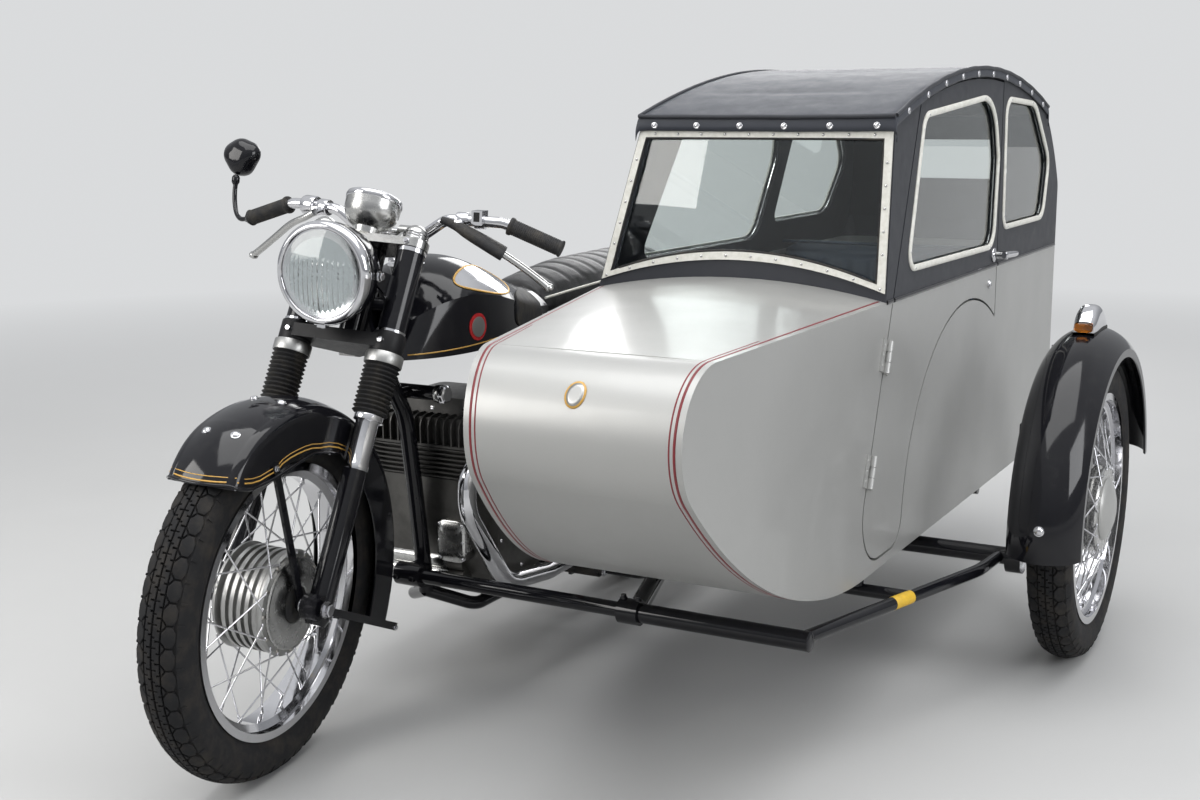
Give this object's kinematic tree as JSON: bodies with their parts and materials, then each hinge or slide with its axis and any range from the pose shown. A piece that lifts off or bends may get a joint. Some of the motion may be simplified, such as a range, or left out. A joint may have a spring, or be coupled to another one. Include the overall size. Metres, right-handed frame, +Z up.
{
  "type": "motorcycle with saloon sidecar",
  "caption": "Vintage motorcycle with a saloon sidecar on the left, both on wire-spoked wheels, with a turning fork, an opening sidecar door and a folding stand.",
  "frame": {"origin": "middle of the whole outfit's footprint, on the ground", "axes": "+X to the rider's left, +Y to the rear, +Z up"},
  "size_m": [1.7182, 2.5672, 1.291],
  "materials": {
    "black_enamel": "gloss",
    "silver_paint": "metallic",
    "charcoal_cloth": "coated, satin",
    "cabin_paint": "satin",
    "chrome_plate": "polished",
    "cast_alloy": "cast",
    "polished_alloy": "polished",
    "black_rubber": "matt",
    "tyre_rubber": "matt",
    "seat_vinyl": "satin",
    "blue_vinyl": "satin",
    "clear_glass": "clear",
    "lamp_glass": "fluted",
    "steel_parts": "plated",
    "red_lens": "gloss"
  },
  "bodies": {
    "outfit": {"bike_frame": "black_enamel", "plunger_units": "black_enamel", "crankcase": "polished_alloy", "cylinder_block": "cast_alloy", "cylinder_head": "cast_alloy", "carburettor": "cast_alloy", "exhausts": "chrome_plate", "fuel_tank": "black_enamel", "dual_seat": "seat_vinyl", "rear_mudguard": "black_enamel", "tail_lamp": "red_lens", "oil_tank_and_toolbox": "black_enamel", "rear_chain": "steel_parts", "footrests": "black_rubber", "sidecar_chassis": "black_enamel", "sidecar_axle": "black_enamel", "sidecar_mudguard": "black_enamel", "side_lamp": "chrome_plate", "bonnet": "silver_paint", "sidecar_tub": "silver_paint", "cabin_shell": "cabin_paint", "roof_cover": "charcoal_cloth", "screen_frame": "polished_alloy", "cabin_glass": "clear_glass", "sidecar_seat": "blue_vinyl", "door_hinges": "steel_parts"},
    "steering": {"fork_sliders": "black_enamel", "fork_gaiters": "black_rubber", "fork_shrouds": "black_enamel", "fork_yokes": "black_enamel", "headlamp_shell": "chrome_plate", "headlamp_lens": "lamp_glass", "speedometer": "chrome_plate", "handlebar": "chrome_plate", "hand_controls": "black_rubber", "mirror": "black_enamel", "front_mudguard": "black_enamel"},
    "front_wheel": {"front_tyre": "tyre_rubber", "front_rim": "chrome_plate", "front_hub": "polished_alloy"},
    "rear_wheel": {"rear_tyre": "tyre_rubber", "rear_rim": "chrome_plate", "rear_hub": "polished_alloy"},
    "sidecar_wheel": {"sidecar_tyre": "tyre_rubber", "sidecar_rim": "chrome_plate", "sidecar_hub": "polished_alloy"},
    "door": {"door_panel": "silver_paint", "door_frame": "cabin_paint", "door_glass": "clear_glass", "door_handle": "chrome_plate"},
    "stand": {"centre_stand": "black_enamel"}
  },
  "joints": [
    {"name": "steering_turn", "type": "hinge", "parent": "outfit", "child": "steering", "pos_m": [-0.3895, -0.90545, 0.3123], "axis": [0, 0.454, 0.891], "range_deg": [-38.25, 21.75]},
    {"name": "front_wheel_spin", "type": "hinge", "parent": "steering", "child": "front_wheel", "pos_m": [-0.38233, -0.94954, 0.33476], "axis": [0.9897, 0.1279, -0.0651], "continuous": true},
    {"name": "rear_wheel_spin", "type": "hinge", "parent": "outfit", "child": "rear_wheel", "pos_m": [-0.3895, 0.472, 0.335], "axis": [1, 0, 0], "continuous": true},
    {"name": "sidecar_wheel_spin", "type": "hinge", "parent": "outfit", "child": "sidecar_wheel", "pos_m": [0.7845, 0.397, 0.335], "axis": [1, 0, 0], "continuous": true},
    {"name": "door_swing", "type": "hinge", "parent": "outfit", "child": "door", "pos_m": [0.5225, -0.3215, 0.335], "axis": [0, -0.3469, -0.9379], "range_deg": [0, 60]},
    {"name": "stand_fold", "type": "hinge", "parent": "outfit", "child": "stand", "pos_m": [-0.3895, 0.035, 0.138], "axis": [-1, 0, 0], "range_deg": [0, 90]}
  ]
}
